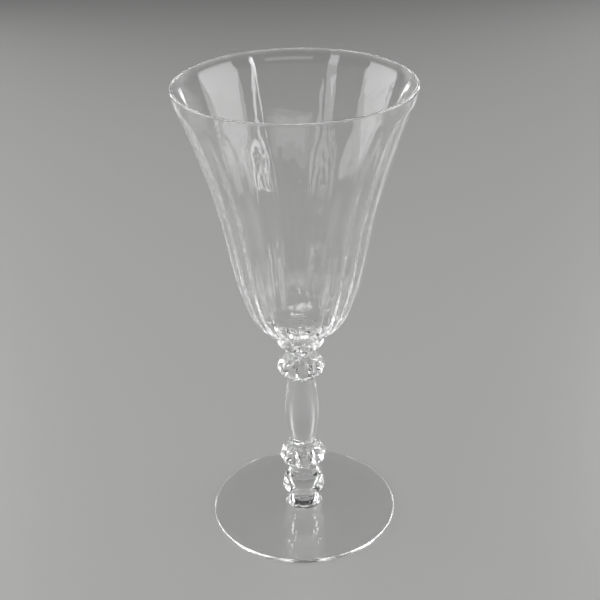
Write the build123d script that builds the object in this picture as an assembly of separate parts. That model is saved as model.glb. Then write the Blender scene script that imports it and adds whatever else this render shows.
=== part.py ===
from build123d import *
import math
import os

# Water goblet of clear glass: a blown bell bowl, a stem with two lobed knops, and a spun foot.
# Millimetres, +Z up. The origin is the centre of the plane that the foot stands on.

# Heights of the pieces along the axis, from the foot up
foot_height = 8.0
button_height = 16.5
knop_height = 11.1
baluster_length = 34.5
collar_height = 9.8
bowl_height = 109.0

# Necks where one piece is fused to the next
foot_neck_diameter = 11.4
knop_neck_diameter = 11.8

# Foot: a thin disc that rises a little to its dome, turns up to the neck there, and is hollowed underneath
foot_diameter = 82.0
foot_edge_thickness = 1.9
foot_edge_round = 0.85
foot_edge_slope = 0.03
foot_dome_diameter = 17.2
foot_dome_height = 3.7
foot_dome_slope = 0.1
foot_hollow_diameter = 70.0
foot_hollow_depth = 1.2

# Button: a smooth bell with a crisp lower edge
button_diameter = 18.6
button_edge_height = 4.0
button_edge_round = 0.5
button_shoulder_diameter = 16.4
button_shoulder_height = 9.8
button_neck_length = 1.6

# Knops and collar: lobes in a ring, aligned from one piece to the next
lobe_count = 12
knop_diameter = 20.2
knop_belly_height = 4.5
knop_crease_depth = 1.4
neck_crease_depth = 0.4
collar_diameter = 20.0
collar_crease_depth = 0.9
collar_neck_length = 1.2
collar_lip_height = 4.1
collar_seat_diameter = 16.0

# Baluster: a slender barrel between two short necks
baluster_diameter = 14.8
baluster_belly_height = 16.4
baluster_foot_diameter = 10.8
baluster_lower_neck = 2.0
baluster_upper_neck = 2.0

# Bowl outside: turn, hip, belly and waist each lie their height above the one before, from the collar up
bowl_turn_diameter = 34.9
bowl_turn_height = 5.5
bowl_hip_diameter = 44.2
bowl_hip_height = 8.5
bowl_belly_diameter = 54.3
bowl_belly_height = 17.5
bowl_waist_diameter = 62.4
bowl_waist_height = 21.5

# Flare, shoulder and lip each lie their height below the one above, from the rim down
bowl_flare_diameter = 73.8
bowl_flare_height = 16.8
bowl_shoulder_diameter = 84.8
bowl_shoulder_height = 11.0
bowl_lip_diameter = 93.4
bowl_lip_height = 6.0
rim_diameter = 95.4

# Bowl inside: glass thickness, lip, and the shallow upright flutes of the optic pattern
wall_at_rim = 1.4
wall_at_hip = 2.4
bowl_floor = 4.0
floor_turn_diameter = 28.0
floor_turn_height = 6.8
lip_round = 0.6
optic_count = 24
optic_depth = 0.45

# Heights of the fused seams
foot_seam = foot_height
button_seam = foot_seam + button_height
lower_knop_seam = button_seam + knop_height
baluster_seam = lower_knop_seam + baluster_length
upper_knop_seam = baluster_seam + knop_height
collar_seam = upper_knop_seam + collar_height
rim_height = collar_seam + bowl_height

# Levels of the bell, up from the collar and down from the rim
turn_level = collar_seam + bowl_turn_height
hip_level = turn_level + bowl_hip_height
belly_level = hip_level + bowl_belly_height
waist_level = belly_level + bowl_waist_height
lip_level = rim_height - bowl_lip_height
shoulder_level = lip_level - bowl_shoulder_height
flare_level = shoulder_level - bowl_flare_height

foot_neck_radius = foot_neck_diameter / 2
knop_neck_radius = knop_neck_diameter / 2


def at(radius, height):
    """Point of an outline, by its distance from the axis and its height."""
    return (radius, 0, height)


def turned(edges):
    """Solid turned round the axis from a closed outline."""
    return revolve(Face(Wire(edges)), Axis.Z)


def lobed_section(count, crest_radius, crease_radius, height):
    """Level outline of equal arcs that bulge to the crests and meet at the creases."""
    half_lobe = math.pi / count
    arcs = []
    for lobe in range(count):
        middle = 2 * half_lobe * lobe
        start, end = middle - half_lobe, middle + half_lobe
        arcs.append(
            ThreePointArc(
                (crease_radius * math.cos(start), crease_radius * math.sin(start), height),
                (crest_radius * math.cos(middle), crest_radius * math.sin(middle), height),
                (crease_radius * math.cos(end), crease_radius * math.sin(end), height),
            )
        )
    return Face(Wire(arcs))


def foot():
    """Spun foot with a rounded edge, a flat ring to stand on and a shallow hollow inside it."""
    radius = foot_diameter / 2
    hollow = foot_hollow_diameter / 2
    top = foot_edge_thickness
    round_start = radius - foot_edge_round
    corner = foot_edge_round * math.sqrt(0.5)
    edges = [
        ThreePointArc(
            at(0, foot_hollow_depth),
            at(hollow / 2, foot_hollow_depth * 3 / 4),
            at(hollow, 0),
        ),
        Line(at(hollow, 0), at(round_start, 0)),
        ThreePointArc(
            at(round_start, 0),
            at(round_start + corner, foot_edge_round - corner),
            at(radius, foot_edge_round),
        ),
        Line(at(radius, foot_edge_round), at(radius, top - foot_edge_round)),
        ThreePointArc(
            at(radius, top - foot_edge_round),
            at(round_start + corner, top - foot_edge_round + corner),
            at(round_start, top),
        ),
        Spline(
            at(round_start, top),
            at(foot_dome_diameter / 2, foot_dome_height),
            tangents=[(-1, 0, foot_edge_slope), (-1, 0, foot_dome_slope)],
        ),
        Spline(
            at(foot_dome_diameter / 2, foot_dome_height),
            at(foot_neck_radius, foot_seam),
            tangents=[(-1, 0, foot_dome_slope), (0, 0, 1)],
        ),
        Line(at(foot_neck_radius, foot_seam), at(0, foot_seam)),
        Line(at(0, foot_seam), at(0, foot_hollow_depth)),
    ]
    return turned(edges)


def stem_button():
    """Bell-shaped button that hangs over the neck above the foot."""
    radius = button_diameter / 2
    edge = foot_seam + button_edge_height
    shoulder = foot_seam + button_shoulder_height
    neck_end = button_seam - button_neck_length
    corner = button_edge_round * math.sqrt(0.5)
    under = radius - button_edge_round
    edges = [
        Line(at(0, foot_seam), at(foot_neck_radius, foot_seam)),
        Spline(
            at(foot_neck_radius, foot_seam),
            at(under, edge),
            tangents=[(0, 0, 1), (1, 0, 0)],
        ),
        ThreePointArc(
            at(under, edge),
            at(under + corner, edge + button_edge_round - corner),
            at(radius, edge + button_edge_round),
        ),
        Spline(
            at(radius, edge + button_edge_round),
            at(button_shoulder_diameter / 2, shoulder),
            at(knop_neck_radius, neck_end),
            tangents=[(0, 0, 1), (-1, 0, 0.6)],
        ),
        Line(at(knop_neck_radius, neck_end), at(knop_neck_radius, button_seam)),
        Line(at(knop_neck_radius, button_seam), at(0, button_seam)),
        Line(at(0, button_seam), at(0, foot_seam)),
    ]
    return turned(edges)


def knop(seam):
    """Melon-shaped knop that swells from neck to neck in a ring of lobes, widest below its middle."""
    swell = knop_diameter / 2 - knop_neck_radius
    belly = seam + knop_belly_height
    sections = []
    for step in range(-3, 4):
        away = step / 3
        reach = knop_belly_height if away < 0 else knop_height - knop_belly_height
        share = 1 - away**2
        crest = knop_neck_radius + swell * share
        crease = crest - neck_crease_depth - (knop_crease_depth - neck_crease_depth) * share
        sections.append(lobed_section(lobe_count, crest, crease, belly + reach * away))
    return loft(sections)


def stem_baluster():
    """Slender barrel between the two knops, a little narrower at its foot."""
    foot_radius = baluster_foot_diameter / 2
    belly = lower_knop_seam + baluster_belly_height
    lower_end = lower_knop_seam + baluster_lower_neck
    upper_end = baluster_seam - baluster_upper_neck
    edges = [
        Line(at(0, lower_knop_seam), at(foot_radius, lower_knop_seam)),
        Line(at(foot_radius, lower_knop_seam), at(foot_radius, lower_end)),
        Spline(
            at(foot_radius, lower_end),
            at(baluster_diameter / 2, belly),
            at(knop_neck_radius, upper_end),
            tangents=[(0.12, 0, 1), (-0.12, 0, 1)],
        ),
        Line(at(knop_neck_radius, upper_end), at(knop_neck_radius, baluster_seam)),
        Line(at(knop_neck_radius, baluster_seam), at(0, baluster_seam)),
        Line(at(0, baluster_seam), at(0, lower_knop_seam)),
    ]
    return turned(edges)


def bowl_collar():
    """Lobed cup that spreads from the upper knop to a pointed lip, drawn in to the seat of the bowl."""
    spread = upper_knop_seam + collar_neck_length
    lip = collar_seam - collar_lip_height
    lip_radius = collar_diameter / 2
    seat_radius = collar_seat_diameter / 2
    neck_crease_radius = knop_neck_radius - neck_crease_depth
    sections = [lobed_section(lobe_count, knop_neck_radius, neck_crease_radius, upper_knop_seam)]
    for step in range(6):
        share = step / 5
        crest = knop_neck_radius + (lip_radius - knop_neck_radius) * share
        crease = crest - neck_crease_depth * (1 - share) - collar_crease_depth * math.sin(math.pi * share)
        sections.append(lobed_section(lobe_count, crest, crease, spread + (lip - spread) * share))
    seat = lobed_section(lobe_count, seat_radius, seat_radius, collar_seam)
    return loft(sections) + loft([sections[-1], seat], ruled=True)


def bell_wall():
    """Outer curve of the bell from its hip to its lip."""
    return Spline(
        at(bowl_hip_diameter / 2, hip_level),
        at(bowl_belly_diameter / 2, belly_level),
        at(bowl_waist_diameter / 2, waist_level),
        at(bowl_flare_diameter / 2, flare_level),
        at(bowl_shoulder_diameter / 2, shoulder_level),
        at(bowl_lip_diameter / 2, lip_level),
    )


def bowl_outside(wall):
    """Solid bell, with the outer half of the rounded lip."""
    seat = collar_seat_diameter / 2
    rim = rim_diameter / 2
    corner = lip_round * math.sqrt(0.5)
    edges = [
        Line(at(0, collar_seam), at(seat, collar_seam)),
        Spline(
            at(seat, collar_seam),
            at(bowl_turn_diameter / 2, turn_level),
            at(bowl_hip_diameter / 2, hip_level),
            tangents=[(1, 0, 0.15), wall % 0],
        ),
        wall,
        Spline(
            at(bowl_lip_diameter / 2, lip_level),
            at(rim, rim_height - lip_round),
            tangents=[wall % 1, (0, 0, 1)],
        ),
        ThreePointArc(
            at(rim, rim_height - lip_round),
            at(rim - lip_round + corner, rim_height - lip_round + corner),
            at(rim - lip_round, rim_height),
        ),
        Line(at(rim - lip_round, rim_height), at(0, rim_height)),
        Line(at(0, rim_height), at(0, collar_seam)),
    ]
    return turned(edges)


def bowl_floor_space(wall):
    """Rounded bottom of the space in the bowl, up to the hip."""
    inner_hip = bowl_hip_diameter / 2 - wall_at_hip
    edges = [
        Spline(
            at(0, collar_seam + bowl_floor),
            at(floor_turn_diameter / 2, collar_seam + floor_turn_height),
            at(inner_hip, hip_level),
            tangents=[(1, 0, 0), wall % 0],
        ),
        Line(at(inner_hip, hip_level), at(0, hip_level)),
        Line(at(0, hip_level), at(0, collar_seam + bowl_floor)),
    ]
    return turned(edges)


def bowl_fluted_space(wall):
    """Space from the hip to the lip, with upright flutes that fade out at both ends."""
    rings = 10
    sections = []
    for ring in range(rings + 1):
        share = ring / rings
        outer = wall @ share
        crest = outer.X - wall_at_hip + (wall_at_hip - wall_at_rim) * share
        crease = crest - optic_depth * math.sin(math.pi * share)
        sections.append(lobed_section(optic_count, crest, crease, outer.Z))
    return loft(sections)


def bowl_mouth_space(wall):
    """Space within the lip, with the inner half of its rounding."""
    inner_lip = bowl_lip_diameter / 2 - wall_at_rim
    inner_rim = rim_diameter / 2 - wall_at_rim
    corner = lip_round * math.sqrt(0.5)
    edges = [
        Line(at(0, lip_level), at(inner_lip, lip_level)),
        Spline(
            at(inner_lip, lip_level),
            at(inner_rim, rim_height - lip_round),
            tangents=[wall % 1, (0, 0, 1)],
        ),
        ThreePointArc(
            at(inner_rim, rim_height - lip_round),
            at(inner_rim + lip_round - corner, rim_height - lip_round + corner),
            at(inner_rim + lip_round, rim_height),
        ),
        Line(at(inner_rim + lip_round, rim_height), at(0, rim_height)),
        Line(at(0, rim_height), at(0, lip_level)),
    ]
    return turned(edges)


def bowl():
    """Blown bell bowl with a plain outside, a fluted inside and a rounded lip."""
    wall = bell_wall()
    solid = bowl_outside(wall)
    for space in (bowl_floor_space(wall), bowl_fluted_space(wall), bowl_mouth_space(wall)):
        solid = solid - space
    return solid


os.makedirs("parts", exist_ok=True)
pieces = {
    "foot": foot(),
    "stem_button": stem_button(),
    "lower_knop": knop(button_seam),
    "stem_baluster": stem_baluster(),
    "upper_knop": knop(baluster_seam),
    "bowl_collar": bowl_collar(),
    "bowl": bowl(),
}
for name, piece in pieces.items():
    export_step(piece, f"parts/{name}.step")
    box = piece.bounding_box()
    print(name, len(piece.solids()), round(piece.volume), box.min, box.max)
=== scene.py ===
"""Looks of a clear glass water goblet: blown bell bowl, pressed stem and spun foot, in metres."""

import logging
import math
from dataclasses import dataclass, field
from enum import Enum
from typing import Any, Iterable, NamedTuple

import bpy
import numpy as np
from mathutils import Matrix, Vector


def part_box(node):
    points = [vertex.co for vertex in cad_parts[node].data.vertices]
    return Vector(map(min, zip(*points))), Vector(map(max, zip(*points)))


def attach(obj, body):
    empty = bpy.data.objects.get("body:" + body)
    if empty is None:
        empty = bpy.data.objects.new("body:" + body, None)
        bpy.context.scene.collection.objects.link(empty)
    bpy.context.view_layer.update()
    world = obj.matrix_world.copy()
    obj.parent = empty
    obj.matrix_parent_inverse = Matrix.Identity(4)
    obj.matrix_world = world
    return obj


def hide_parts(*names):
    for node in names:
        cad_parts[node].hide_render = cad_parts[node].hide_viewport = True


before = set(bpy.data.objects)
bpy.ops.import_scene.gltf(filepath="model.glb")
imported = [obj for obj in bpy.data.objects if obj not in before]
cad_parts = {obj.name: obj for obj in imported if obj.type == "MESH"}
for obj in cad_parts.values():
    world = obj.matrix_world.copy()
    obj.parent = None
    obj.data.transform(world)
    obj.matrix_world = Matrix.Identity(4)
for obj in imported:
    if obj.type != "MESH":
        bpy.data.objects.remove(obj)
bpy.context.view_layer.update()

MM = 0.001
SEGMENTS = 384
LOBES = 12
FLUTES = 24
FOOT_NECK_RADIUS = 5.7 * MM
KNOP_NECK_RADIUS = 5.9 * MM
NECK_CREASE_DEPTH = 0.4 * MM
BALUSTER_FOOT_RADIUS = 5.4 * MM
SEAT_RADIUS = 8.0 * MM
SAME_PLACE = 0.001 * MM
GLASS_IOR = 1.5

Socket = bpy.types.NodeSocket
Sockets = bpy.types.bpy_prop_collection
Color = tuple[float, float, float]
Direction = tuple[float, float]

UPRIGHT: Direction = (0.0, 1.0)
OUTWARD: Direction = (1.0, 0.0)

LOG = logging.getLogger("goblet")


class Forming(Enum):
    """How a piece of the goblet was shaped while hot."""

    SPUN = "spun"
    PRESSED = "pressed"
    BLOWN = "blown"


class Ring(NamedTuple):
    """Level ring on a turned surface.

    Attributes:
        radius: Distance from the axis.
        height: Height above the table.
    """

    radius: float
    height: float


class Grain(NamedTuple):
    """Layers of a soft random variation.

    Attributes:
        detail: How many finer layers it has.
        seed: Number, or output socket, that picks one variation.
    """

    detail: float
    seed: Any


def bottom(node: str) -> float:
    """Height of the lowest point of a node of the frame."""
    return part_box(node)[0][2]


def top(node: str) -> float:
    """Height of the highest point of a node of the frame."""
    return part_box(node)[1][2]


class Graph:
    """Node tree under construction, for a shader or for geometry."""

    def __init__(self, tree: bpy.types.NodeTree) -> None:
        """Takes over a tree and empties it."""
        self.tree = tree
        tree.nodes.clear()

    def feed(self, socket: Socket, value: Any) -> None:
        """Sets an input to a plain value, or links it to another node's output.

        Args:
            socket: Input to set.
            value: Plain value or output socket.
        """
        if isinstance(value, Socket):
            self.tree.links.new(value, socket)
        else:
            socket.default_value = value

    def node(
        self, kind: str, inputs: dict[str | int, Any] | None = None, **settings: Any
    ) -> bpy.types.Node:
        """Adds a node.

        Args:
            kind: Type name of the node.
            inputs: Values or output sockets for its inputs, by name or place.
            settings: Properties of the node.

        Returns:
            The new node.
        """
        node = self.tree.nodes.new(kind)
        for name, value in settings.items():
            setattr(node, name, value)
        for name, value in (inputs or {}).items():
            self.feed(node.inputs[name], value)
        return node

    def math(self, operation: str, *values: Any) -> Socket:
        """Adds one step of arithmetic.

        Args:
            operation: Name of the operation.
            values: Plain numbers or output sockets.

        Returns:
            The result's socket.
        """
        node = self.node("ShaderNodeMath", operation=operation)
        for socket, value in zip(node.inputs, values):
            self.feed(socket, value)
        return node.outputs[0]

    def noise(self, position: Socket, size: Any, grain: Grain) -> Socket:
        """Adds soft random variation between 0 and 1.

        Args:
            position: Where the variation is read.
            size: Distance across one patch of it.
            grain: Its layers.

        Returns:
            The variation's socket.
        """
        scale = self.math("DIVIDE", 1.0, size)
        inputs = {"Vector": position, "W": grain.seed, "Scale": scale, "Detail": grain.detail}
        return self.node("ShaderNodeTexNoise", inputs, noise_dimensions="4D").outputs[0]

    def ranged(
        self,
        value: Socket,
        span: tuple[float, float] = (0.0, 1.0),
        low: Any = 0.0,
        high: Any = 1.0,
        **settings: Any,
    ) -> Socket:
        """Adds a change from one range of values to another, which it never leaves.

        Args:
            value: Value to change.
            span: Both ends of the range that it comes from.
            low: What the first end becomes.
            high: What the second end becomes.
            settings: Properties of the node.

        Returns:
            The changed value's socket.
        """
        ends = {"From Min": span[0], "From Max": span[1], "To Min": low, "To Max": high}
        return self.node("ShaderNodeMapRange", {"Value": value, **ends}, **settings).outputs[0]


class SmoothCurve:
    """Curve of a half section that runs smoothly through a few rings."""

    def __init__(
        self,
        rings: Iterable[Ring],
        start: Direction | None = None,
        end: Direction | None = None,
    ) -> None:
        """Fits the curve.

        Args:
            rings: Rings that it passes through, in order.
            start: Direction in which it leaves the first ring, or none for a free end.
            end: Direction in which it reaches the last ring, or none for a free end.
        """
        self.points = np.array(list(rings))
        self.steps = np.linalg.norm(np.diff(self.points, axis=0), axis=1)
        self.knots = np.concatenate([[0.0], np.cumsum(self.steps)])
        first = self._unit(start) if start is not None else self._free_end(slice(0, 4), 0)
        last = self._unit(end) if end is not None else self._free_end(slice(-4, None), -1)
        self.slopes = self._even_slopes(first, last)

    @staticmethod
    def _unit(direction: Direction) -> np.ndarray:
        """Direction with a length of one."""
        return np.array(direction) / np.linalg.norm(direction)

    def _free_end(self, near: slice, place: int) -> np.ndarray:
        """Slope at an end of the cubic through the four rings nearest to it.

        Args:
            near: Those rings' places in the list.
            place: Place of the end ring.

        Returns:
            The slope along the curve.
        """
        knots = self.knots[near]
        fits = [np.polyder(np.polyfit(knots, line, 3)) for line in self.points[near].T]
        return np.array([np.polyval(fit, self.knots[place]) for fit in fits])

    def _even_slopes(self, first: np.ndarray, last: np.ndarray) -> np.ndarray:
        """Slopes at all rings that let the bend change evenly from one ring to the next.

        Args:
            first: Slope at the first ring.
            last: Slope at the last ring.

        Returns:
            One slope for each ring.
        """
        count = len(self.points)
        matrix = np.eye(count)
        sides = np.zeros((count, 2))
        sides[0], sides[-1] = first, last
        rises = np.diff(self.points, axis=0) / self.steps[:, None]
        for ring in range(1, count - 1):
            before, after = self.steps[ring - 1], self.steps[ring]
            matrix[ring, ring - 1 : ring + 2] = after, 2 * (before + after), before
            sides[ring] = 3 * (after * rises[ring - 1] + before * rises[ring])
        return np.linalg.solve(matrix, sides)

    def sample(self, count: int) -> list[Ring]:
        """Rings at even distances along the curve.

        Args:
            count: Number of rings, with both ends.

        Returns:
            The rings in order.
        """
        places = np.linspace(0.0, self.knots[-1], count)
        run = np.clip(np.searchsorted(self.knots, places, side="right") - 1, 0, len(self.steps) - 1)
        step = self.steps[run][:, None]
        share = (places - self.knots[run])[:, None] / step
        start, end = self.points[run], self.points[run + 1]
        leave, reach = self.slopes[run] * step, self.slopes[run + 1] * step
        rest = 1.0 - share
        points = rest**2 * ((1 + 2 * share) * start + share * leave)
        points += share**2 * ((1 + 2 * rest) * end - rest * reach)
        return [Ring(radius, height) for radius, height in points]


def straight(start: Ring, end: Ring, count: int) -> list[Ring]:
    """Rings at even distances along a straight side, with both ends."""
    return [Ring(*point) for point in np.linspace(start, end, count)]


def quarter_round(start: Ring, end: Ring, count: int, upright_first: bool) -> list[Ring]:
    """Quarter of a rounded edge.

    Args:
        start: First ring.
        end: Last ring.
        count: Number of rings, with both ends.
        upright_first: True where the surface is upright at its start.

    Returns:
        The rings in order.
    """
    across, rise = end.radius - start.radius, end.height - start.height
    rings = []
    for turn in np.linspace(0.0, math.pi / 2, count):
        slow, fast = 1.0 - math.cos(turn), math.sin(turn)
        out, up = (slow, fast) if upright_first else (fast, slow)
        rings.append(Ring(start.radius + across * out, start.height + rise * up))
    return rings


@dataclass
class Outline:
    """Half section of one piece, from the axis round its surface and back to the axis.

    Attributes:
        rings: Rings of the surface in order.
        ribs: Depth of the ribs at each ring.
        waves: Height of the wavering of the surface at each ring.
        seams: True at the rings of a disc that is fused to the next piece.
    """

    rings: list[Ring] = field(default_factory=list)
    ribs: list[float] = field(default_factory=list)
    waves: list[float] = field(default_factory=list)
    seams: list[bool] = field(default_factory=list)

    def add(
        self, rings: Iterable[Ring], rib: Any = 0.0, wave: Any = 0.0, seam: bool = False
    ) -> "Outline":
        """Adds a stretch of the surface, without a ring that the outline already ends on.

        Args:
            rings: Rings of the stretch in order.
            rib: Depth of the ribs, one value or one for each ring.
            wave: Height of the wavering, one value or one for each ring.
            seam: True for a fused disc.

        Returns:
            The outline itself.
        """
        rings = list(rings)
        ribs = np.broadcast_to(rib, len(rings))
        waves = np.broadcast_to(wave, len(rings))
        for ring, depth, waver in zip(rings, ribs, waves):
            if self.rings and math.dist(ring, self.rings[-1]) < SAME_PLACE:
                continue
            self.rings.append(Ring(*ring))
            self.ribs.append(float(depth))
            self.waves.append(float(waver))
            self.seams.append(seam)
        return self

    def seam_below(self, radius: float, height: float, rib: float = 0.0) -> "Outline":
        """Starts the outline with a fused disc, whose edge may be ribbed."""
        return self.add([Ring(0.0, height), Ring(radius, height)], rib=(0.0, rib), seam=True)

    def seam_above(self, radius: float, height: float) -> "Outline":
        """Ends the outline with a fused disc, whose edge may be there already.

        Args:
            radius: Radius of the disc.
            height: Its height above the table.

        Returns:
            The outline itself.
        """
        if math.dist(self.rings[-1], (radius, height)) < SAME_PLACE:
            self.seams[-1] = True
        return self.add([Ring(radius, height), Ring(0.0, height)], seam=True)

    def mesh(self, name: str) -> bpy.types.Mesh:
        """Draws the outline as a chain of points that carry its ribs, waves and seams.

        Args:
            name: Name of the mesh.

        Returns:
            The mesh.
        """
        mesh = bpy.data.meshes.new(name)
        chain = [(place, place + 1) for place in range(len(self.rings) - 1)]
        mesh.from_pydata([(ring.radius, 0.0, ring.height) for ring in self.rings], chain, [])
        for label, values in (("rib", self.ribs), ("wave", self.waves), ("seam", self.seams)):
            attribute = mesh.attributes.new(label, "FLOAT", "POINT")
            attribute.data.foreach_set("value", np.array(values, dtype=np.float32))
        return mesh


@dataclass(frozen=True)
class GlassFinish:
    """Surface of the glass as one way of forming leaves it.

    Attributes:
        forming: How the piece was shaped.
        tint: Colour of the glass.
        ripple_size: Distance across one soft ripple.
        ripple_depth: Height of the ripples.
        streak_depth: Height of the upright streaks.
        ring_spacing: Distance between the rings that a turning tool leaves.
        ring_depth: Height of those rings.
        film_roughness: Most that handling has dulled the polish.
        scuff_height: Height above the table up to which the glass is scuffed.
    """

    forming: Forming
    tint: Color
    ripple_size: float
    ripple_depth: float
    streak_depth: float
    ring_spacing: float
    ring_depth: float
    film_roughness: float
    scuff_height: float


FINISHES = {
    finish.forming: finish
    for finish in (
        GlassFinish(
            forming=Forming.SPUN,
            tint=(0.985, 0.99, 0.985),
            ripple_size=14.0 * MM,
            ripple_depth=0.05 * MM,
            streak_depth=0.0,
            ring_spacing=2.6 * MM,
            ring_depth=0.0015 * MM,
            film_roughness=0.05,
            scuff_height=0.02 * MM,
        ),
        GlassFinish(
            forming=Forming.PRESSED,
            tint=(0.95, 0.962, 0.955),
            ripple_size=4.0 * MM,
            ripple_depth=0.03 * MM,
            streak_depth=0.004 * MM,
            ring_spacing=1.7 * MM,
            ring_depth=0.0,
            film_roughness=0.03,
            scuff_height=0.0,
        ),
        GlassFinish(
            forming=Forming.BLOWN,
            tint=(0.987, 0.99, 0.988),
            ripple_size=9.0 * MM,
            ripple_depth=0.06 * MM,
            streak_depth=0.02 * MM,
            ring_spacing=3.0 * MM,
            ring_depth=0.0,
            film_roughness=0.04,
            scuff_height=0.0,
        ),
    )
}


class GlassPaint:
    """Materials of the glass, which share one group of surface effects."""

    RIPPLE = Grain(detail=1.5, seed=3.0)
    STREAK = Grain(detail=1.0, seed=5.0)
    STREAK_WIDTH = 2.4 * MM
    STREAK_STRETCH = 40.0
    FILM = Grain(detail=6.0, seed=7.0)
    FILM_SIZE = 22.0 * MM
    FILM_SPAN = (0.5, 0.75)
    GRIT = Grain(detail=3.0, seed=11.0)
    GRIT_SIZE = 1.2 * MM
    GRIT_SPAN = (0.45, 0.65)
    SCUFF_ROUGHNESS = 0.2
    CLOUD = Grain(detail=2.0, seed=13.0)
    TINT_VARIATION = 0.02
    EDGE_BLEND = 0.25
    EDGE_POWER = 4.0
    FACE_SHADE = 0.995
    EDGE_SHADE = 0.25
    INPUTS = {
        "Tint": "NodeSocketColor",
        "Ripple Size": "NodeSocketFloat",
        "Ripple Depth": "NodeSocketFloat",
        "Streak Depth": "NodeSocketFloat",
        "Ring Spacing": "NodeSocketFloat",
        "Ring Depth": "NodeSocketFloat",
        "Film Roughness": "NodeSocketFloat",
        "Scuff Height": "NodeSocketFloat",
    }
    OUTPUTS = {
        "Color": "NodeSocketColor",
        "Roughness": "NodeSocketFloat",
        "Height": "NodeSocketFloat",
    }

    def __init__(self) -> None:
        """Builds the shared group, one glass for each way of forming, and the fused seam."""
        self.effects = self._surface_effects()
        self.glass = {forming: self._glass(finish) for forming, finish in FINISHES.items()}
        self.seam = self._fused_seam()

    def _surface_effects(self) -> bpy.types.NodeTree:
        """Builds the group of ripples, streaks, tool rings, handling film and scuffs.

        Returns:
            The shader node group.
        """
        group = bpy.data.node_groups.new("glass_surface", "ShaderNodeTree")
        graph = Graph(group)
        for name, kind in self.INPUTS.items():
            group.interface.new_socket(name, in_out="INPUT", socket_type=kind)
        for name, kind in self.OUTPUTS.items():
            group.interface.new_socket(name, in_out="OUTPUT", socket_type=kind)
        given = graph.node("NodeGroupInput").outputs
        place = graph.node("ShaderNodeTexCoord").outputs["Object"]
        apart = graph.node("ShaderNodeSeparateXYZ", {0: place}).outputs
        squares = [graph.math("POWER", apart[axis], 2.0) for axis in ("X", "Y")]
        radius = graph.math("SQRT", graph.math("ADD", *squares))

        ripple = graph.noise(place, given["Ripple Size"], self.RIPPLE)
        stretch = (1.0, 1.0, 1.0 / self.STREAK_STRETCH)
        drawn = graph.node("ShaderNodeVectorMath", {0: place, 1: stretch}, operation="MULTIPLY")
        streak = graph.noise(drawn.outputs[0], self.STREAK_WIDTH, self.STREAK)
        turns = graph.math("MULTIPLY", radius, math.tau)
        ring = graph.math("SINE", graph.math("DIVIDE", turns, given["Ring Spacing"]))
        ripples, streaks, rings = (
            graph.math("MULTIPLY", form, given[f"{name} Depth"])
            for name, form in (("Ripple", ripple), ("Streak", streak), ("Ring", ring))
        )
        height = graph.math("ADD", graph.math("ADD", ripples, streaks), rings)

        smear = graph.noise(place, self.FILM_SIZE, self.FILM)
        film = graph.ranged(smear, self.FILM_SPAN, high=given["Film Roughness"])
        grit = graph.noise(place, self.GRIT_SIZE, self.GRIT)
        scratches = graph.ranged(grit, self.GRIT_SPAN, high=self.SCUFF_ROUGHNESS)
        low = graph.math("LESS_THAN", apart["Z"], given["Scuff Height"])
        roughness = graph.math("ADD", film, graph.math("MULTIPLY", low, scratches))

        cloud = graph.noise(place, self.FILM_SIZE, self.CLOUD)
        paler = graph.math("SUBTRACT", 1.0, graph.math("MULTIPLY", cloud, self.TINT_VARIATION))
        tinted = {0: given["Tint"], "Scale": paler}
        color = graph.node("ShaderNodeVectorMath", tinted, operation="SCALE").outputs[0]
        made = {"Color": color, "Roughness": roughness, "Height": height}
        graph.node("NodeGroupOutput", made)
        return group

    def _glass(self, finish: GlassFinish) -> bpy.types.Material:
        """Builds the glass of one finish, which lets lamp light through to what stands behind it.

        Args:
            finish: The finish.

        Returns:
            The material.
        """
        material = bpy.data.materials.new(f"{finish.forming.value}_glass")
        material.use_nodes = True
        graph = Graph(material.node_tree)
        surface = graph.node("ShaderNodeGroup", node_tree=self.effects)
        values = {
            "Tint": (*finish.tint, 1.0),
            "Ripple Size": finish.ripple_size,
            "Ripple Depth": finish.ripple_depth,
            "Streak Depth": finish.streak_depth,
            "Ring Spacing": finish.ring_spacing,
            "Ring Depth": finish.ring_depth,
            "Film Roughness": finish.film_roughness,
            "Scuff Height": finish.scuff_height,
        }
        for name, value in values.items():
            surface.inputs[name].default_value = value
        bump = graph.node("ShaderNodeBump", {"Height": surface.outputs["Height"], "Distance": 1.0})
        glass = graph.node(
            "ShaderNodeBsdfPrincipled",
            {
                "Base Color": surface.outputs["Color"],
                "Roughness": surface.outputs["Roughness"],
                "Normal": bump.outputs["Normal"],
                "IOR": GLASS_IOR,
                "Transmission Weight": 1.0,
            },
        )
        facing = graph.node("ShaderNodeLayerWeight", {"Blend": self.EDGE_BLEND}).outputs["Facing"]
        edge = graph.math("POWER", facing, self.EDGE_POWER)
        shade = graph.ranged(edge, low=self.FACE_SHADE, high=self.EDGE_SHADE)
        passing = graph.node("ShaderNodeBsdfTransparent", {"Color": shade})
        shadow_ray = graph.node("ShaderNodeLightPath").outputs["Is Shadow Ray"]
        shaders = {0: shadow_ray, 1: glass.outputs[0], 2: passing.outputs[0]}
        both = graph.node("ShaderNodeMixShader", shaders)
        graph.node("ShaderNodeOutputMaterial", {"Surface": both.outputs[0]})
        return material

    @staticmethod
    def _fused_seam() -> bpy.types.Material:
        """Builds the material of a disc where two pieces are one glass and light goes straight on.

        Returns:
            The material.
        """
        material = bpy.data.materials.new("fused_seam")
        material.use_nodes = True
        graph = Graph(material.node_tree)
        inside = graph.node("ShaderNodeBsdfPrincipled", {"Alpha": 0.0})
        graph.node("ShaderNodeOutputMaterial", {"Surface": inside.outputs[0]})
        return material


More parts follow.
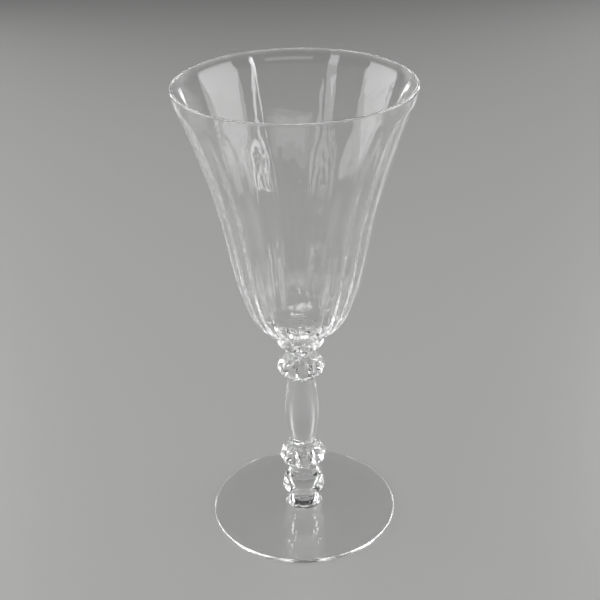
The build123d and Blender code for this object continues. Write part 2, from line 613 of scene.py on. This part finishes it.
class TurningTool:
    """Geometry tree that turns an outline round the axis, with ribs, wavering and fused seams."""

    MERGE_DISTANCE = 0.0005 * MM
    SHARP_ANGLE = math.radians(50)
    WAVER_DETAIL = 1.0
    SEED = 4.0
    INPUTS = {
        "Outline": "NodeSocketGeometry",
        "Segments": "NodeSocketInt",
        "Ribs": "NodeSocketFloat",
        "Softness": "NodeSocketFloat",
        "Wave Size": "NodeSocketFloat",
        "Seed": "NodeSocketFloat",
        "Glass": "NodeSocketMaterial",
        "Seam": "NodeSocketMaterial",
    }

    def __init__(self, paint: GlassPaint) -> None:
        """Builds the tree.

        Args:
            paint: Materials of the glass.
        """
        self.paint = paint
        self.tree = bpy.data.node_groups.new("turned_glass", "GeometryNodeTree")
        self.sockets = {
            name: self.tree.interface.new_socket(name, in_out="INPUT", socket_type=kind).identifier
            for name, kind in self.INPUTS.items()
        }
        self.tree.interface.new_socket("Piece", in_out="OUTPUT", socket_type="NodeSocketGeometry")
        self._build(Graph(self.tree))

    def _build(self, graph: Graph) -> None:
        """Lays out the nodes of the tree.

        Args:
            graph: The empty tree.
        """
        given = graph.node("NodeGroupInput").outputs
        outline = given["Outline"]
        size = graph.node("GeometryNodeAttributeDomainSize", {0: outline}, component="MESH")
        rows = size.outputs["Point Count"]
        columns = graph.math("ADD", given["Segments"], 1.0)
        sheet = {"Size X": 1.0, "Size Y": 1.0, "Vertices X": columns, "Vertices Y": rows}
        grid = graph.node("GeometryNodeMeshGrid", sheet).outputs["Mesh"]
        apart = self._coordinates(graph)
        share_round = graph.math("ADD", apart["X"], 0.5)
        share_along = graph.math("ADD", apart["Y"], 0.5)
        last_row = graph.math("SUBTRACT", rows, 1.0)
        row = graph.math("ROUND", graph.math("MULTIPLY", share_along, last_row))
        ring = self._ring(graph, outline, row)
        place = self._place(graph, given, ring, share_round)
        self._dress(graph, given, grid, place, ring["seam"])

    @staticmethod
    def _coordinates(graph: Graph) -> Sockets:
        """Coordinates of each point, apart."""
        point = graph.node("GeometryNodeInputPosition").outputs[0]
        return graph.node("ShaderNodeSeparateXYZ", {0: point}).outputs

    def _ring(self, graph: Graph, outline: Socket, row: Socket) -> dict[str, Socket]:
        """Reads the outline's ring at the row of each point of the grid.

        Args:
            graph: Tree under construction.
            outline: The outline.
            row: Row of the point.

        Returns:
            Radius, height, rib, wave and seam of the ring.
        """
        apart = self._coordinates(graph)
        carried = {"radius": apart["X"], "height": apart["Z"]}
        for label in ("rib", "wave", "seam"):
            name = {"Name": label}
            named = graph.node("GeometryNodeInputNamedAttribute", name, data_type="FLOAT")
            carried[label] = named.outputs[0]
        ring = {}
        for label, value in carried.items():
            inputs = {"Geometry": outline, "Value": value, "Index": row}
            kind = {"data_type": "FLOAT", "domain": "POINT"}
            ring[label] = graph.node("GeometryNodeSampleIndex", inputs, **kind).outputs[0]
        return ring

    def _place(
        self, graph: Graph, given: Sockets, ring: dict[str, Socket], share: Socket
    ) -> Socket:
        """Moves each point of the grid to its ring, with the ribs and the wavering of the glass.

        Args:
            graph: Tree under construction.
            given: Inputs of the tree.
            ring: Values of the point's ring.
            share: Share of the way round.

        Returns:
            The socket of the point's place.
        """
        angle = graph.math("MULTIPLY", share, math.tau)
        ribs = self._rib_shape(graph, share, given["Ribs"], given["Softness"])
        ribbed = graph.math("SUBTRACT", ring["radius"], graph.math("MULTIPLY", ring["rib"], ribs))
        plain = self._around(graph, ribbed, angle, ring["height"])
        noise = graph.noise(plain, given["Wave Size"], Grain(self.WAVER_DETAIL, given["Seed"]))
        lift = graph.math("MULTIPLY", graph.math("SUBTRACT", noise, 0.5), ring["wave"])
        radius, height = (graph.math("ADD", size, lift) for size in (ribbed, ring["height"]))
        return self._around(graph, radius, angle, height)

    def _dress(
        self, graph: Graph, given: Sockets, grid: Socket, place: Socket, seam: Socket
    ) -> None:
        """Shapes the grid, closes and smooths it, and gives it its materials.

        Args:
            graph: Tree under construction.
            given: Inputs of the tree.
            grid: The flat grid.
            place: Where its points go.
            seam: 1 at the points of a fused disc, 0 elsewhere.
        """
        keep = graph.node("GeometryNodeCaptureAttribute", {0: grid}, domain="POINT")
        keep.capture_items.new("BOOLEAN", "Fused")
        graph.feed(keep.inputs["Fused"], graph.math("GREATER_THAN", seam, 0.5))
        moved = {"Geometry": keep.outputs[0], "Position": place}
        shaped = graph.node("GeometryNodeSetPosition", moved)
        joined = {"Geometry": shaped.outputs[0], "Distance": self.MERGE_DISTANCE}
        closed = graph.node("GeometryNodeMergeByDistance", joined)
        soft = {"Geometry": closed.outputs[0], "Shade Smooth": True}
        smooth = graph.node("GeometryNodeSetShadeSmooth", soft)
        bend = graph.node("GeometryNodeInputMeshEdgeAngle").outputs["Unsigned Angle"]
        sharp = {
            "Geometry": smooth.outputs[0],
            "Selection": graph.math("GREATER_THAN", bend, self.SHARP_ANGLE),
            "Shade Smooth": False,
        }
        crisp = graph.node("GeometryNodeSetShadeSmooth", sharp, domain="EDGE")
        real = graph.node("GeometryNodeRealizeInstances", {"Geometry": crisp.outputs[0]})
        clear = {"Geometry": real.outputs[0], "Material": given["Glass"]}
        glass = graph.node("GeometryNodeSetMaterial", clear)
        inner = {
            "Geometry": glass.outputs[0],
            "Selection": keep.outputs["Fused"],
            "Material": given["Seam"],
        }
        fused = graph.node("GeometryNodeSetMaterial", inner)
        graph.node("NodeGroupOutput", {"Piece": fused.outputs[0]})

    @staticmethod
    def _rib_shape(graph: Graph, share: Any, count: Any, softness: Any) -> Socket:
        """Shape of the ribs round the piece: 0 on a crest and 1 in a crease.

        Args:
            graph: Tree under construction.
            share: Share of the way round.
            count: Number of ribs.
            softness: 0 for crisp creases, 1 for even waves.

        Returns:
            The shape's socket.
        """
        place = graph.math("FRACT", graph.math("ADD", graph.math("MULTIPLY", share, count), 0.5))
        across = graph.math("SUBTRACT", graph.math("MULTIPLY", place, 2.0), 1.0)
        crisp = graph.math("POWER", across, 2.0)
        swing = graph.math("SINE", graph.math("MULTIPLY", across, math.pi / 2))
        soft = graph.math("POWER", swing, 2.0)
        change = graph.math("MULTIPLY", graph.math("SUBTRACT", soft, crisp), softness)
        return graph.math("ADD", crisp, change)

    @staticmethod
    def _around(graph: Graph, radius: Any, angle: Any, height: Any) -> Socket:
        """Point at a radius, an angle round the axis and a height.

        Args:
            graph: Tree under construction.
            radius: Distance from the axis.
            angle: Angle round the axis.
            height: Height above the table.

        Returns:
            The point's socket.
        """
        out = graph.math("MULTIPLY", radius, graph.math("COSINE", angle))
        along = graph.math("MULTIPLY", radius, graph.math("SINE", angle))
        return graph.node("ShaderNodeCombineXYZ", {"X": out, "Y": along, "Z": height}).outputs[0]

    def turn(
        self,
        node: str,
        outline: Outline,
        forming: Forming,
        ribs: int = LOBES,
        softness: float = 0.0,
        wave_size: float = 12.0 * MM,
    ) -> bpy.types.Object:
        """Turns an outline into a finished piece that stands for its node of the frame.

        Args:
            node: Name of the node.
            outline: Half section of the piece.
            forming: How the piece was shaped.
            ribs: Number of ribs round it.
            softness: 0 for crisp creases between ribs, 1 for even waves.
            wave_size: Distance across one waver of the surface.

        Returns:
            The piece.
        """
        chain = outline.mesh(f"{node}_outline")
        piece = bpy.data.objects.new(f"{node}_glass", chain)
        bpy.context.scene.collection.objects.link(piece)
        modifier = piece.modifiers.new("turning", "NODES")
        modifier.node_group = self.tree
        values = {
            "Segments": SEGMENTS,
            "Ribs": float(ribs),
            "Softness": softness,
            "Wave Size": wave_size,
            "Seed": self.SEED,
            "Glass": self.paint.glass[forming],
            "Seam": self.paint.seam,
        }
        for name, value in values.items():
            modifier[self.sockets[name]] = value
        seen = piece.evaluated_get(bpy.context.evaluated_depsgraph_get())
        piece.data = bpy.data.meshes.new_from_object(seen)
        piece.data.name = piece.name
        piece.modifiers.remove(modifier)
        bpy.data.meshes.remove(chain)
        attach(piece, "root")
        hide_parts(node)
        LOG.info("%s: %d rings, %d faces", piece.name, len(outline.rings), len(piece.data.polygons))
        return piece


@dataclass
class Foot:
    """Spun foot: a thin disc that is drawn up to the stem and hollowed a little underneath."""

    HOLLOW_RINGS = 18
    FLAT_RINGS = 5
    EDGE_RINGS = 8
    RISE_RINGS = 40
    FILLET_RINGS = 24

    radius: float = 41.0 * MM
    edge_thickness: float = 1.9 * MM
    edge_round: float = 0.85 * MM
    edge_slope: float = 0.03
    dome: Ring = Ring(8.6 * MM, 3.7 * MM)
    dome_slope: float = 0.1
    hollow_radius: float = 35.0 * MM
    hollow_depth: float = 1.2 * MM
    waver: float = 0.06 * MM
    waver_size: float = 24.0 * MM

    def outline(self) -> Outline:
        """Half section from the middle of the hollow round the edge to the neck.

        Returns:
            The outline.
        """
        hollow = [
            Ring(self.hollow_radius * share, self.hollow_depth * (1.0 - share**2))
            for share in np.linspace(0.0, 1.0, self.HOLLOW_RINGS)
        ]
        inner = self.radius - self.edge_round
        stand, crown = Ring(inner, 0.0), Ring(inner, self.edge_thickness)
        side_start = Ring(self.radius, self.edge_round)
        side_end = Ring(self.radius, self.edge_thickness - self.edge_round)
        neck = Ring(FOOT_NECK_RADIUS, top("foot"))
        gentle, uphill = (-1.0, self.edge_slope), (-1.0, self.dome_slope)
        rise = SmoothCurve([crown, self.dome], gentle, uphill).sample(self.RISE_RINGS)
        fillet = SmoothCurve([self.dome, neck], uphill, UPRIGHT).sample(self.FILLET_RINGS)
        fade = np.sin(np.linspace(0.0, math.pi, len(rise)))
        outline = Outline().add(hollow)
        outline.add(straight(hollow[-1], stand, self.FLAT_RINGS))
        outline.add(quarter_round(stand, side_start, self.EDGE_RINGS, upright_first=False))
        outline.add(quarter_round(side_end, crown, self.EDGE_RINGS, upright_first=True))
        outline.add(rise, wave=self.waver * fade)
        outline.add(fillet)
        return outline.seam_above(neck.radius, neck.height)

    def build(self, tool: TurningTool) -> None:
        """Turns the foot."""
        tool.turn("foot", self.outline(), Forming.SPUN, wave_size=self.waver_size)


@dataclass
class Stem:
    """Pressed stem: a smooth button, two lobed knops and the slender baluster between them."""

    UNDERSIDE_RINGS = 18
    EDGE_RINGS = 6
    BELL_RINGS = 36
    BUTTON_NECK_RINGS = 4
    KNOP_RINGS = 61
    BARREL_RINGS = 52
    BALUSTER_NECK_RINGS = 5

    button_radius: float = 9.3 * MM
    button_edge_height: float = 4.0 * MM
    button_edge_round: float = 0.5 * MM
    button_shoulder: Ring = Ring(8.2 * MM, 9.8 * MM)
    button_neck_length: float = 1.6 * MM
    button_neck_slope: float = 0.6
    knop_radius: float = 10.1 * MM
    knop_belly_height: float = 4.5 * MM
    knop_crease_depth: float = 1.4 * MM
    baluster_belly: Ring = Ring(7.4 * MM, 16.4 * MM)
    baluster_lower_neck: float = 2.0 * MM
    baluster_upper_neck: float = 2.0 * MM
    baluster_lean: float = 0.12

    def button(self) -> Outline:
        """Half section of the bell-shaped button.

        Returns:
            The outline.
        """
        low, high = bottom("stem_button"), top("stem_button")
        start, end = Ring(FOOT_NECK_RADIUS, low), Ring(KNOP_NECK_RADIUS, high)
        edge = low + self.button_edge_height
        under = Ring(self.button_radius - self.button_edge_round, edge)
        side = Ring(self.button_radius, edge + self.button_edge_round)
        shoulder = Ring(self.button_shoulder.radius, low + self.button_shoulder.height)
        neck = Ring(end.radius, high - self.button_neck_length)
        inward = (-1.0, self.button_neck_slope)
        outline = Outline().seam_below(start.radius, low)
        outline.add(SmoothCurve([start, under], UPRIGHT, OUTWARD).sample(self.UNDERSIDE_RINGS))
        outline.add(quarter_round(under, side, self.EDGE_RINGS, upright_first=False))
        outline.add(SmoothCurve([side, shoulder, neck], UPRIGHT, inward).sample(self.BELL_RINGS))
        outline.add(straight(neck, end, self.BUTTON_NECK_RINGS))
        return outline.seam_above(end.radius, high)

    def knop(self, node: str, above: float) -> Outline:
        """Half section of a knop through the crest of a lobe, with the depth of its creases.

        Args:
            node: Name of the knop's node.
            above: Radius of the piece that stands on it.

        Returns:
            The outline.
        """
        low, high = bottom(node), top(node)
        belly = low + self.knop_belly_height
        away = np.linspace(-1.0, 1.0, self.KNOP_RINGS)
        shares = 1.0 - away**2
        heights = belly + away * np.where(away < 0.0, belly - low, high - belly)
        radii = KNOP_NECK_RADIUS + (self.knop_radius - KNOP_NECK_RADIUS) * shares
        creases = NECK_CREASE_DEPTH + (self.knop_crease_depth - NECK_CREASE_DEPTH) * shares
        outline = Outline().seam_below(KNOP_NECK_RADIUS, low, NECK_CREASE_DEPTH)
        outline.add([Ring(*place) for place in zip(radii, heights)], rib=creases)
        return outline.seam_above(above, high)

    def baluster(self) -> Outline:
        """Half section of the slender barrel.

        Returns:
            The outline.
        """
        low, high = bottom("stem_baluster"), top("stem_baluster")
        start, end = Ring(BALUSTER_FOOT_RADIUS, low), Ring(KNOP_NECK_RADIUS, high)
        lower = Ring(start.radius, low + self.baluster_lower_neck)
        belly = Ring(self.baluster_belly.radius, low + self.baluster_belly.height)
        upper = Ring(end.radius, high - self.baluster_upper_neck)
        leave, reach = (self.baluster_lean, 1.0), (-self.baluster_lean, 1.0)
        outline = Outline().seam_below(start.radius, low)
        outline.add(straight(start, lower, self.BALUSTER_NECK_RINGS))
        outline.add(SmoothCurve([lower, belly, upper], leave, reach).sample(self.BARREL_RINGS))
        outline.add(straight(upper, end, self.BALUSTER_NECK_RINGS))
        return outline.seam_above(end.radius, high)

    def build(self, tool: TurningTool) -> None:
        """Turns the pieces of the stem from the foot up.

        Args:
            tool: Tool that turns them.
        """
        tool.turn("stem_button", self.button(), Forming.PRESSED)
        tool.turn("lower_knop", self.knop("lower_knop", BALUSTER_FOOT_RADIUS), Forming.PRESSED)
        tool.turn("stem_baluster", self.baluster(), Forming.PRESSED)
        tool.turn("upper_knop", self.knop("upper_knop", KNOP_NECK_RADIUS), Forming.PRESSED)


@dataclass
class Bowl:
    """Blown bell bowl with upright flutes inside, and the lobed collar that carries it."""

    COLLAR_NECK_RINGS = 4
    COLLAR_SIDE_RINGS = 28
    COLLAR_TOP_RINGS = 9
    BASE_RINGS = 28
    WALL_RINGS = 64
    LIP_RINGS = 8
    FLOOR_RINGS = 30

    collar_radius: float = 10.0 * MM
    collar_crease_depth: float = 0.9 * MM
    collar_neck_length: float = 1.2 * MM
    collar_lip_height: float = 4.1 * MM
    base_slope: float = 0.15
    turn: Ring = Ring(17.45 * MM, 5.5 * MM)
    hip: Ring = Ring(22.1 * MM, 14.0 * MM)
    belly: Ring = Ring(27.15 * MM, 31.5 * MM)
    waist: Ring = Ring(31.2 * MM, 53.0 * MM)
    flare: Ring = Ring(36.9 * MM, 75.2 * MM)
    shoulder: Ring = Ring(42.4 * MM, 92.0 * MM)
    lip: Ring = Ring(46.7 * MM, 103.0 * MM)
    rim_radius: float = 47.7 * MM
    wall_at_rim: float = 1.4 * MM
    wall_at_hip: float = 2.4 * MM
    floor_thickness: float = 4.0 * MM
    floor_turn: Ring = Ring(14.0 * MM, 6.8 * MM)
    lip_round: float = 0.6 * MM
    flute_depth: float = 0.45 * MM
    flute_softness: float = 0.7
    flute_fade: float = 0.5
    waver_outside: float = 0.16 * MM
    waver_inside: float = 0.8 * MM
    waver_size: float = 6.5 * MM
    waver_fade: float = 0.7

    def collar(self) -> Outline:
        """Half section of the lobed collar.

        Returns:
            The outline.
        """
        low, high = bottom("bowl_collar"), top("bowl_collar")
        start, seat = Ring(KNOP_NECK_RADIUS, low), Ring(SEAT_RADIUS, high)
        spread = Ring(KNOP_NECK_RADIUS, low + self.collar_neck_length)
        tip = Ring(self.collar_radius, high - self.collar_lip_height)
        shares = np.linspace(0.0, 1.0, self.COLLAR_SIDE_RINGS)
        swell = self.collar_crease_depth * np.sin(np.pi * shares)
        creases = NECK_CREASE_DEPTH * (1.0 - shares) + swell
        outline = Outline().seam_below(start.radius, low, NECK_CREASE_DEPTH)
        outline.add(straight(start, spread, self.COLLAR_NECK_RINGS), rib=NECK_CREASE_DEPTH)
        outline.add(straight(spread, tip, self.COLLAR_SIDE_RINGS), rib=creases)
        outline.add(straight(tip, seat, self.COLLAR_TOP_RINGS))
        return outline.seam_above(seat.radius, high)

    def bell(self) -> Outline:
        """Half section of the bowl, up its outside, over the lip and down its inside.

        Returns:
            The outline.
        """
        seam, rim = bottom("bowl"), top("bowl")

        def lifted(ring: Ring) -> Ring:
            """Ring at its height above the collar."""
            return Ring(ring.radius, seam + ring.height)

        stations = (self.hip, self.belly, self.waist, self.flare, self.shoulder, self.lip)
        wall = SmoothCurve([lifted(station) for station in stations])
        at_hip, at_lip = tuple(wall.slopes[0]), tuple(wall.slopes[-1])
        base_rings = [Ring(SEAT_RADIUS, seam), lifted(self.turn), lifted(self.hip)]
        base = SmoothCurve(base_rings, (1.0, self.base_slope), at_hip).sample(self.BASE_RINGS)
        outer = wall.sample(self.WALL_RINGS)
        shares = np.linspace(0.0, 1.0, len(outer))
        walls = self.wall_at_hip + (self.wall_at_rim - self.wall_at_hip) * shares
        inner = [Ring(ring.radius - depth, ring.height) for ring, depth in zip(outer, walls)]
        floor_rings = [Ring(0.0, seam + self.floor_thickness), lifted(self.floor_turn), inner[0]]
        floor = SmoothCurve(floor_rings, OUTWARD, at_hip).sample(self.FLOOR_RINGS)

        outer_edge = Ring(self.rim_radius, rim - self.lip_round)
        outer_crown = Ring(outer_edge.radius - self.lip_round, rim)
        inner_edge = Ring(self.rim_radius - self.wall_at_rim, outer_edge.height)
        inner_crown = Ring(inner_edge.radius + self.lip_round, rim)
        outer_lip = SmoothCurve([outer[-1], outer_edge], at_lip, UPRIGHT).sample(self.LIP_RINGS)
        inner_lip = SmoothCurve([inner[-1], inner_edge], at_lip, UPRIGHT).sample(self.LIP_RINGS)

        blown = (1.0 - shares) ** self.waver_fade
        flutes = self.flute_depth * np.cos(np.pi / 2 * shares) ** self.flute_fade
        base_shares = np.linspace(0.0, 1.0, len(base))
        floor_shares = np.linspace(1.0, 0.0, len(floor))
        floor_flutes = self.flute_depth * np.sin(np.pi / 2 * floor_shares) ** 2
        outline = Outline().seam_below(SEAT_RADIUS, seam)
        outline.add(base, wave=self.waver_outside * base_shares)
        outline.add(outer, wave=self.waver_outside * blown)
        outline.add(outer_lip)
        outline.add(quarter_round(outer_edge, outer_crown, self.LIP_RINGS, upright_first=True))
        outline.add(quarter_round(inner_crown, inner_edge, self.LIP_RINGS, upright_first=False))
        outline.add(inner_lip[::-1])
        outline.add(inner[::-1], rib=flutes[::-1], wave=self.waver_inside * blown[::-1])
        return outline.add(floor[::-1], rib=floor_flutes, wave=self.waver_inside * floor_shares)

    def build(self, tool: TurningTool) -> None:
        """Turns the collar and the bowl.

        Args:
            tool: Tool that turns them.
        """
        tool.turn("bowl_collar", self.collar(), Forming.PRESSED)
        tool.turn(
            "bowl",
            self.bell(),
            Forming.BLOWN,
            ribs=FLUTES,
            softness=self.flute_softness,
            wave_size=self.waver_size,
        )


@dataclass(frozen=True)
class Softbox:
    """Lamp behind a white cloth.

    Attributes:
        name: Name of the lamp.
        place: Where it hangs.
        width: Its width.
        height: Its height.
        brightness: Light that its cloth gives off, where 1 is white.
    """

    name: str
    place: tuple[float, float, float]
    width: float
    height: float
    brightness: float

    def build(self, target: Vector) -> None:
        """Hangs the lamp and aims it.

        Args:
            target: Point that it faces.
        """
        lamp = bpy.data.lights.new(self.name, "AREA")
        lamp.shape = "RECTANGLE"
        lamp.size, lamp.size_y = self.width, self.height
        lamp.energy = self.brightness * math.pi * self.width * self.height
        box = bpy.data.objects.new(self.name, lamp)
        aim = (target - Vector(self.place)).to_track_quat("-Z", "Y")
        box.matrix_world = Matrix.Translation(self.place) @ aim.to_matrix().to_4x4()
        box.visible_camera = False
        bpy.context.scene.collection.objects.link(box)


@dataclass
class Studio:
    """Pale floor, soft lamps and the camera."""

    FLOOR_SIDES = 96

    floor_radius: float = 3.0
    floor_drop: float = 0.2 * MM
    floor_roughness: float = 0.38
    floor_color: Color = (0.41, 0.41, 0.405)
    # Painted shade: the floor's colour darkens with distance from the goblet, standing in for lamp
    # light falling off.
    painted_falloff_color: Color = (0.25, 0.25, 0.25)
    painted_falloff_start: float = 0.45
    painted_falloff_end: float = 1.8
    room_brightness: float = 0.06
    light_bounces: int = 96
    aim: tuple[float, float, float] = (0.0, 0.0, 0.12)
    lamps: tuple[Softbox, ...] = (
        Softbox("key_softbox", (-0.85, -0.30, 1.0), 0.30, 0.30, 14.0),
        Softbox("overhead_softbox", (0.1, 0.15, 1.3), 0.36, 0.36, 8.0),
        Softbox("left_panel", (-0.97, 0.26, 0.48), 0.75, 0.80, 3.0),
        Softbox("right_panel", (0.985, -0.17, 0.48), 0.85, 0.80, 3.0),
        Softbox("front_panel", (0.0, -1.10, 0.42), 1.0, 0.20, 1.3),
        Softbox("front_left_strip", (-0.75, -0.72, 0.38), 0.16, 0.6, 3.0),
        Softbox("front_right_strip", (0.62, -0.78, 0.38), 0.06, 0.6, 9.0),
        Softbox("back_left_strip", (-0.50, 0.87, 0.42), 0.12, 0.6, 7.5),
        Softbox("back_right_strip", (0.62, 0.79, 0.42), 0.12, 0.6, 7.5),
    )
    camera_azimuth: float = math.radians(-95.0)
    camera_reach: float = 0.437
    camera_height: float = 0.338
    camera_pitch: float = math.radians(27.93)
    camera_yaw: float = math.radians(0.03)
    camera_roll: float = math.radians(-1.35)
    camera_lens: float = 71.1

    def build(self) -> None:
        """Sets up the whole studio."""
        scene = bpy.context.scene
        scene.view_settings.view_transform = "Standard"
        scene.cycles.max_bounces = self.light_bounces
        scene.cycles.glossy_bounces = self.light_bounces
        scene.cycles.transmission_bounces = self.light_bounces
        scene.cycles.transparent_max_bounces = self.light_bounces
        scene.cycles.caustics_reflective = False
        scene.cycles.caustics_refractive = False
        self._room()
        self._floor()
        for lamp in self.lamps:
            lamp.build(Vector(self.aim))
        self._camera()

    def _room(self) -> None:
        """Gives the room round the floor an even grey."""
        world = bpy.data.worlds.new("room")
        world.use_nodes = True
        graph = Graph(world.node_tree)
        grey = (self.room_brightness,) * 3 + (1.0,)
        room = graph.node("ShaderNodeBackground", {"Color": grey})
        graph.node("ShaderNodeOutputWorld", {"Surface": room.outputs[0]})
        bpy.context.scene.world = world

    def _floor(self) -> None:
        """Lays the pale round floor, with painted shade that turns it darker far from the goblet in
        place of the falloff of lamp light.
        """
        reach, drop = self.floor_radius, self.floor_drop
        turns = [math.tau * side / self.FLOOR_SIDES for side in range(self.FLOOR_SIDES)]
        rim = [(reach * math.cos(turn), reach * math.sin(turn), -drop) for turn in turns]
        mesh = bpy.data.meshes.new("floor")
        mesh.from_pydata(rim, [], [tuple(range(len(rim)))])
        material = bpy.data.materials.new("pale_floor")
        material.use_nodes = True
        graph = Graph(material.node_tree)
        place = graph.node("ShaderNodeTexCoord").outputs["Object"]
        away = graph.node("ShaderNodeVectorMath", {0: place}, operation="LENGTH").outputs["Value"]
        # Painted shade: mixes the pale colour towards a darker one away from the goblet, as if the
        # lamp light fell off.
        span = (self.painted_falloff_start, self.painted_falloff_end)
        fade = graph.ranged(away, span, interpolation_type="SMOOTHSTEP")
        colors = {0: fade, 6: (*self.floor_color, 1.0), 7: (*self.painted_falloff_color, 1.0)}
        mixed = graph.node("ShaderNodeMix", colors, data_type="RGBA").outputs[2]
        satin = {"Base Color": mixed, "Roughness": self.floor_roughness}
        paint = graph.node("ShaderNodeBsdfPrincipled", satin)
        graph.node("ShaderNodeOutputMaterial", {"Surface": paint.outputs[0]})
        mesh.materials.append(material)
        floor = bpy.data.objects.new("floor", mesh)
        bpy.context.scene.collection.objects.link(floor)

    def _camera(self) -> None:
        """Places the camera at the photograph's angle."""
        data = bpy.data.cameras.new("camera")
        data.lens = self.camera_lens
        camera = bpy.data.objects.new("camera", data)
        pitch, yaw = self.camera_pitch, self.camera_yaw
        level = math.cos(pitch)
        ahead = Vector((math.sin(yaw) * level, math.cos(yaw) * level, -math.sin(pitch)))
        right = Vector((math.cos(yaw), -math.sin(yaw), 0.0))
        view = Matrix((right, right.cross(ahead), -ahead)).transposed().to_4x4()
        stand = Matrix.Translation((0.0, -self.camera_reach, self.camera_height))
        around = Matrix.Rotation(self.camera_azimuth + math.pi / 2, 4, "Z")
        camera.matrix_world = around @ stand @ view @ Matrix.Rotation(self.camera_roll, 4, "Z")
        bpy.context.scene.collection.objects.link(camera)
        bpy.context.scene.camera = camera


def main() -> None:
    """Builds the studio and the goblet from the foot up."""
    logging.basicConfig(level=logging.INFO, format="%(name)s %(message)s")
    Studio().build()
    tool = TurningTool(GlassPaint())
    for assembly in (Foot(), Stem(), Bowl()):
        assembly.build(tool)


if __name__ == "__main__":
    main()
